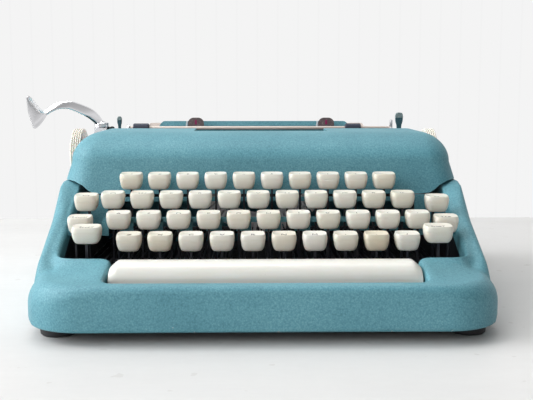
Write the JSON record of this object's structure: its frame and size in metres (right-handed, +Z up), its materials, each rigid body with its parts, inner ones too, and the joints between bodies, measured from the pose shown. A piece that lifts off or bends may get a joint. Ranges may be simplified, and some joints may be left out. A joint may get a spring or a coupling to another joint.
{
  "type": "portable typewriter",
  "caption": "Portable manual typewriter with a two-part crinkle-painted shell, four rows of cream keys, a sliding carriage with platen, and a chrome return lever.",
  "frame": {"origin": "centre of the body's plan on the plane the feet rest on", "axes": "+X to the typist's right, +Y away from the typist towards the carriage, +Z up"},
  "size_m": [0.3231, 0.29, 0.1383],
  "materials": {
    "teal_crinkle_paint": "crinkle",
    "teal_gloss_paint": "satin",
    "cream_plastic": "gloss",
    "dark_metal": "satin",
    "bright_steel": "satin",
    "chrome": "polished",
    "black_rubber": "matte",
    "black_ink_ribbon": "matte"
  },
  "bodies": {
    "frame": {"lower_housing": "teal_crinkle_paint", "chassis": "dark_metal", "rubber_feet": "black_rubber", "ribbon_spools": "black_ink_ribbon"},
    "ribbon_cover": {"ribbon_cover": "teal_crinkle_paint"},
    "carriage": {"carriage_frame": "teal_gloss_paint"},
    "platen": {"platen": "black_rubber", "platen_knobs": "cream_plastic"},
    "return_lever": {"return_lever": "chrome"},
    "paper_bail": {"paper_bail": "bright_steel"},
    "paper_release_lever": {"paper_release_lever": "dark_metal"},
    "type_basket": {"type_basket": "bright_steel"},
    "space_bar": {"space_bar": "cream_plastic"},
    "shift_keys": {"shift_keys": "cream_plastic"},
    "shift_lock_key": {"shift_lock_key": "cream_plastic"},
    "margin_release_key": {"margin_release_key": "cream_plastic"},
    "backspace_key": {"backspace_key": "cream_plastic"},
    "tabulator_key": {"tabulator_key": "cream_plastic"},
    "key_z": {"key_z": "cream_plastic"},
    "key_x": {"key_x": "cream_plastic"},
    "key_c": {"key_c": "cream_plastic"},
    "key_v": {"key_v": "cream_plastic"},
    "key_b": {"key_b": "cream_plastic"},
    "key_n": {"key_n": "cream_plastic"},
    "key_m": {"key_m": "cream_plastic"},
    "key_comma": {"key_comma": "cream_plastic"},
    "key_period": {"key_period": "cream_plastic"},
    "key_slash": {"key_slash": "cream_plastic"},
    "key_a": {"key_a": "cream_plastic"},
    "key_s": {"key_s": "cream_plastic"},
    "key_d": {"key_d": "cream_plastic"},
    "key_f": {"key_f": "cream_plastic"},
    "key_g": {"key_g": "cream_plastic"},
    "key_h": {"key_h": "cream_plastic"},
    "key_j": {"key_j": "cream_plastic"},
    "key_k": {"key_k": "cream_plastic"},
    "key_l": {"key_l": "cream_plastic"},
    "key_semicolon": {"key_semicolon": "cream_plastic"},
    "key_quote": {"key_quote": "cream_plastic"},
    "key_q": {"key_q": "cream_plastic"},
    "key_w": {"key_w": "cream_plastic"},
    "key_e": {"key_e": "cream_plastic"},
    "key_r": {"key_r": "cream_plastic"},
    "key_t": {"key_t": "cream_plastic"},
    "key_y": {"key_y": "cream_plastic"},
    "key_u": {"key_u": "cream_plastic"},
    "key_i": {"key_i": "cream_plastic"},
    "key_o": {"key_o": "cream_plastic"},
    "key_p": {"key_p": "cream_plastic"},
    "key_fraction": {"key_fraction": "cream_plastic"},
    "key_2": {"key_2": "cream_plastic"},
    "key_3": {"key_3": "cream_plastic"},
    "key_4": {"key_4": "cream_plastic"},
    "key_5": {"key_5": "cream_plastic"},
    "key_6": {"key_6": "cream_plastic"},
    "key_7": {"key_7": "cream_plastic"},
    "key_8": {"key_8": "cream_plastic"},
    "key_9": {"key_9": "cream_plastic"},
    "key_0": {"key_0": "cream_plastic"},
    "key_hyphen": {"key_hyphen": "cream_plastic"}
  },
  "joints": [
    {"name": "cover_hinge", "type": "hinge", "parent": "frame", "child": "ribbon_cover", "pos_m": [0, 0.06997, 0.1048], "axis": [-1, 0, 0], "range_deg": [0, 60]},
    {"name": "carriage_slide", "type": "slide", "parent": "frame", "child": "carriage", "axis": [-1, 0, 0], "range_m": [-0.11, 0.11]},
    {"name": "platen_turn", "type": "hinge", "parent": "carriage", "child": "platen", "pos_m": [0, 0.09498, 0.092], "axis": [1, 0, 0], "continuous": true},
    {"name": "return_lever_swing", "type": "hinge", "parent": "carriage", "child": "return_lever", "pos_m": [-0.129, 0.09498, 0.117], "axis": [0, 0, 1], "range_deg": [0, 35], "stiffness_Nm_per_rad": 0.1, "springref_deg": -11.46},
    {"name": "bail_lift", "type": "hinge", "parent": "carriage", "child": "paper_bail", "pos_m": [0, 0.11797, 0.1], "axis": [-1, 0, 0], "range_deg": [0, 40]},
    {"name": "paper_release_pull", "type": "hinge", "parent": "carriage", "child": "paper_release_lever", "pos_m": [0.1179, 0.11797, 0.1], "axis": [1, 0, 0], "range_deg": [0, 28]},
    {"name": "space_bar_press", "type": "hinge", "parent": "frame", "child": "space_bar", "pos_m": [0, 0.10998, 0.025], "axis": [1, 0, 0], "range_deg": [0, 1.9], "stiffness_Nm_per_rad": 1.5, "springref_deg": -14.32},
    {"name": "shift_press", "type": "hinge", "parent": "frame", "child": "shift_keys", "pos_m": [0, 0.10998, 0.025], "axis": [1, 0, 0], "range_deg": [0, 2.38], "stiffness_Nm_per_rad": 3, "springref_deg": -14.32},
    {"name": "basket_drop", "type": "slide", "parent": "frame", "child": "type_basket", "axis": [0, 0, -1], "range_m": [0, 0.00605]},
    {"name": "shift_lock_press", "type": "hinge", "parent": "shift_keys", "child": "shift_lock_key", "pos_m": [0, 0.10998, 0.025], "axis": [1, 0, 0], "range_deg": [0, 0.97], "stiffness_Nm_per_rad": 0.3, "springref_deg": -14.32},
    {"name": "margin_release_press", "type": "hinge", "parent": "frame", "child": "margin_release_key", "pos_m": [0, 0.10998, 0.025], "axis": [1, 0, 0], "range_deg": [0, 2.96], "stiffness_Nm_per_rad": 0.3, "springref_deg": -14.32},
    {"name": "backspace_press", "type": "hinge", "parent": "frame", "child": "backspace_key", "pos_m": [0, 0.10998, 0.025], "axis": [1, 0, 0], "range_deg": [0, 2.96], "stiffness_Nm_per_rad": 0.3, "springref_deg": -14.32},
    {"name": "tabulator_press", "type": "hinge", "parent": "frame", "child": "tabulator_key", "pos_m": [0, 0.10998, 0.025], "axis": [1, 0, 0], "range_deg": [0, 2.6], "stiffness_Nm_per_rad": 0.3, "springref_deg": -14.32},
    {"name": "key_z_press", "type": "hinge", "parent": "frame", "child": "key_z", "pos_m": [0, 0.10998, 0.025], "axis": [1, 0, 0], "range_deg": [0, 3.57], "stiffness_Nm_per_rad": 0.3, "springref_deg": -14.32},
    {"name": "key_x_press", "type": "hinge", "parent": "frame", "child": "key_x", "pos_m": [0, 0.10998, 0.025], "axis": [1, 0, 0], "range_deg": [0, 3.57], "stiffness_Nm_per_rad": 0.3, "springref_deg": -14.32},
    {"name": "key_c_press", "type": "hinge", "parent": "frame", "child": "key_c", "pos_m": [0, 0.10998, 0.025], "axis": [1, 0, 0], "range_deg": [0, 3.57], "stiffness_Nm_per_rad": 0.3, "springref_deg": -14.32},
    {"name": "key_v_press", "type": "hinge", "parent": "frame", "child": "key_v", "pos_m": [0, 0.10998, 0.025], "axis": [1, 0, 0], "range_deg": [0, 3.57], "stiffness_Nm_per_rad": 0.3, "springref_deg": -14.32},
    {"name": "key_b_press", "type": "hinge", "parent": "frame", "child": "key_b", "pos_m": [0, 0.10998, 0.025], "axis": [1, 0, 0], "range_deg": [0, 3.57], "stiffness_Nm_per_rad": 0.3, "springref_deg": -14.32},
    {"name": "key_n_press", "type": "hinge", "parent": "frame", "child": "key_n", "pos_m": [0, 0.10998, 0.025], "axis": [1, 0, 0], "range_deg": [0, 3.57], "stiffness_Nm_per_rad": 0.3, "springref_deg": -14.32},
    {"name": "key_m_press", "type": "hinge", "parent": "frame", "child": "key_m", "pos_m": [0, 0.10998, 0.025], "axis": [1, 0, 0], "range_deg": [0, 3.57], "stiffness_Nm_per_rad": 0.3, "springref_deg": -14.32},
    {"name": "key_comma_press", "type": "hinge", "parent": "frame", "child": "key_comma", "pos_m": [0, 0.10998, 0.025], "axis": [1, 0, 0], "range_deg": [0, 3.57], "stiffness_Nm_per_rad": 0.3, "springref_deg": -14.32},
    {"name": "key_period_press", "type": "hinge", "parent": "frame", "child": "key_period", "pos_m": [0, 0.10998, 0.025], "axis": [1, 0, 0], "range_deg": [0, 3.57], "stiffness_Nm_per_rad": 0.3, "springref_deg": -14.32},
    {"name": "key_slash_press", "type": "hinge", "parent": "frame", "child": "key_slash", "pos_m": [0, 0.10998, 0.025], "axis": [1, 0, 0], "range_deg": [0, 3.57], "stiffness_Nm_per_rad": 0.3, "springref_deg": -14.32},
    {"name": "key_a_press", "type": "hinge", "parent": "frame", "child": "key_a", "pos_m": [0, 0.10998, 0.025], "axis": [1, 0, 0], "range_deg": [0, 3.96], "stiffness_Nm_per_rad": 0.3, "springref_deg": -14.32},
    {"name": "key_s_press", "type": "hinge", "parent": "frame", "child": "key_s", "pos_m": [0, 0.10998, 0.025], "axis": [1, 0, 0], "range_deg": [0, 3.96], "stiffness_Nm_per_rad": 0.3, "springref_deg": -14.32},
    {"name": "key_d_press", "type": "hinge", "parent": "frame", "child": "key_d", "pos_m": [0, 0.10998, 0.025], "axis": [1, 0, 0], "range_deg": [0, 3.96], "stiffness_Nm_per_rad": 0.3, "springref_deg": -14.32},
    {"name": "key_f_press", "type": "hinge", "parent": "frame", "child": "key_f", "pos_m": [0, 0.10998, 0.025], "axis": [1, 0, 0], "range_deg": [0, 3.96], "stiffness_Nm_per_rad": 0.3, "springref_deg": -14.32},
    {"name": "key_g_press", "type": "hinge", "parent": "frame", "child": "key_g", "pos_m": [0, 0.10998, 0.025], "axis": [1, 0, 0], "range_deg": [0, 3.96], "stiffness_Nm_per_rad": 0.3, "springref_deg": -14.32},
    {"name": "key_h_press", "type": "hinge", "parent": "frame", "child": "key_h", "pos_m": [0, 0.10998, 0.025], "axis": [1, 0, 0], "range_deg": [0, 3.96], "stiffness_Nm_per_rad": 0.3, "springref_deg": -14.32},
    {"name": "key_j_press", "type": "hinge", "parent": "frame", "child": "key_j", "pos_m": [0, 0.10998, 0.025], "axis": [1, 0, 0], "range_deg": [0, 3.96], "stiffness_Nm_per_rad": 0.3, "springref_deg": -14.32},
    {"name": "key_k_press", "type": "hinge", "parent": "frame", "child": "key_k", "pos_m": [0, 0.10998, 0.025], "axis": [1, 0, 0], "range_deg": [0, 3.96], "stiffness_Nm_per_rad": 0.3, "springref_deg": -14.32},
    {"name": "key_l_press", "type": "hinge", "parent": "frame", "child": "key_l", "pos_m": [0, 0.10998, 0.025], "axis": [1, 0, 0], "range_deg": [0, 3.96], "stiffness_Nm_per_rad": 0.3, "springref_deg": -14.32},
    {"name": "key_semicolon_press", "type": "hinge", "parent": "frame", "child": "key_semicolon", "pos_m": [0, 0.10998, 0.025], "axis": [1, 0, 0], "range_deg": [0, 3.96], "stiffness_Nm_per_rad": 0.3, "springref_deg": -14.32},
    {"name": "key_quote_press", "type": "hinge", "parent": "frame", "child": "key_quote", "pos_m": [0, 0.10998, 0.025], "axis": [1, 0, 0], "range_deg": [0, 3.96], "stiffness_Nm_per_rad": 0.3, "springref_deg": -14.32},
    {"name": "key_q_press", "type": "hinge", "parent": "frame", "child": "key_q", "pos_m": [0, 0.10998, 0.025], "axis": [1, 0, 0], "range_deg": [0, 4.45], "stiffness_Nm_per_rad": 0.3, "springref_deg": -14.32},
    {"name": "key_w_press", "type": "hinge", "parent": "frame", "child": "key_w", "pos_m": [0, 0.10998, 0.025], "axis": [1, 0, 0], "range_deg": [0, 4.45], "stiffness_Nm_per_rad": 0.3, "springref_deg": -14.32},
    {"name": "key_e_press", "type": "hinge", "parent": "frame", "child": "key_e", "pos_m": [0, 0.10998, 0.025], "axis": [1, 0, 0], "range_deg": [0, 4.45], "stiffness_Nm_per_rad": 0.3, "springref_deg": -14.32},
    {"name": "key_r_press", "type": "hinge", "parent": "frame", "child": "key_r", "pos_m": [0, 0.10998, 0.025], "axis": [1, 0, 0], "range_deg": [0, 4.45], "stiffness_Nm_per_rad": 0.3, "springref_deg": -14.32},
    {"name": "key_t_press", "type": "hinge", "parent": "frame", "child": "key_t", "pos_m": [0, 0.10998, 0.025], "axis": [1, 0, 0], "range_deg": [0, 4.45], "stiffness_Nm_per_rad": 0.3, "springref_deg": -14.32},
    {"name": "key_y_press", "type": "hinge", "parent": "frame", "child": "key_y", "pos_m": [0, 0.10998, 0.025], "axis": [1, 0, 0], "range_deg": [0, 4.45], "stiffness_Nm_per_rad": 0.3, "springref_deg": -14.32},
    {"name": "key_u_press", "type": "hinge", "parent": "frame", "child": "key_u", "pos_m": [0, 0.10998, 0.025], "axis": [1, 0, 0], "range_deg": [0, 4.45], "stiffness_Nm_per_rad": 0.3, "springref_deg": -14.32},
    {"name": "key_i_press", "type": "hinge", "parent": "frame", "child": "key_i", "pos_m": [0, 0.10998, 0.025], "axis": [1, 0, 0], "range_deg": [0, 4.45], "stiffness_Nm_per_rad": 0.3, "springref_deg": -14.32},
    {"name": "key_o_press", "type": "hinge", "parent": "frame", "child": "key_o", "pos_m": [0, 0.10998, 0.025], "axis": [1, 0, 0], "range_deg": [0, 4.45], "stiffness_Nm_per_rad": 0.3, "springref_deg": -14.32},
    {"name": "key_p_press", "type": "hinge", "parent": "frame", "child": "key_p", "pos_m": [0, 0.10998, 0.025], "axis": [1, 0, 0], "range_deg": [0, 4.45], "stiffness_Nm_per_rad": 0.3, "springref_deg": -14.32},
    {"name": "key_fraction_press", "type": "hinge", "parent": "frame", "child": "key_fraction", "pos_m": [0, 0.10998, 0.025], "axis": [1, 0, 0], "range_deg": [0, 4.45], "stiffness_Nm_per_rad": 0.3, "springref_deg": -14.32},
    {"name": "key_2_press", "type": "hinge", "parent": "frame", "child": "key_2", "pos_m": [0, 0.10998, 0.025], "axis": [1, 0, 0], "range_deg": [0, 5.07], "stiffness_Nm_per_rad": 0.3, "springref_deg": -14.32},
    {"name": "key_3_press", "type": "hinge", "parent": "frame", "child": "key_3", "pos_m": [0, 0.10998, 0.025], "axis": [1, 0, 0], "range_deg": [0, 5.07], "stiffness_Nm_per_rad": 0.3, "springref_deg": -14.32},
    {"name": "key_4_press", "type": "hinge", "parent": "frame", "child": "key_4", "pos_m": [0, 0.10998, 0.025], "axis": [1, 0, 0], "range_deg": [0, 5.07], "stiffness_Nm_per_rad": 0.3, "springref_deg": -14.32},
    {"name": "key_5_press", "type": "hinge", "parent": "frame", "child": "key_5", "pos_m": [0, 0.10998, 0.025], "axis": [1, 0, 0], "range_deg": [0, 5.07], "stiffness_Nm_per_rad": 0.3, "springref_deg": -14.32},
    {"name": "key_6_press", "type": "hinge", "parent": "frame", "child": "key_6", "pos_m": [0, 0.10998, 0.025], "axis": [1, 0, 0], "range_deg": [0, 5.07], "stiffness_Nm_per_rad": 0.3, "springref_deg": -14.32},
    {"name": "key_7_press", "type": "hinge", "parent": "frame", "child": "key_7", "pos_m": [0, 0.10998, 0.025], "axis": [1, 0, 0], "range_deg": [0, 5.07], "stiffness_Nm_per_rad": 0.3, "springref_deg": -14.32},
    {"name": "key_8_press", "type": "hinge", "parent": "frame", "child": "key_8", "pos_m": [0, 0.10998, 0.025], "axis": [1, 0, 0], "range_deg": [0, 5.07], "stiffness_Nm_per_rad": 0.3, "springref_deg": -14.32},
    {"name": "key_9_press", "type": "hinge", "parent": "frame", "child": "key_9", "pos_m": [0, 0.10998, 0.025], "axis": [1, 0, 0], "range_deg": [0, 5.07], "stiffness_Nm_per_rad": 0.3, "springref_deg": -14.32},
    {"name": "key_0_press", "type": "hinge", "parent": "frame", "child": "key_0", "pos_m": [0, 0.10998, 0.025], "axis": [1, 0, 0], "range_deg": [0, 5.07], "stiffness_Nm_per_rad": 0.3, "springref_deg": -14.32},
    {"name": "key_hyphen_press", "type": "hinge", "parent": "frame", "child": "key_hyphen", "pos_m": [0, 0.10998, 0.025], "axis": [1, 0, 0], "range_deg": [0, 5.07], "stiffness_Nm_per_rad": 0.3, "springref_deg": -14.32}
  ],
  "couplings": [
    {"joint": "basket_drop", "follows": "shift_press", "m_per_rad": 0.14444}
  ]
}
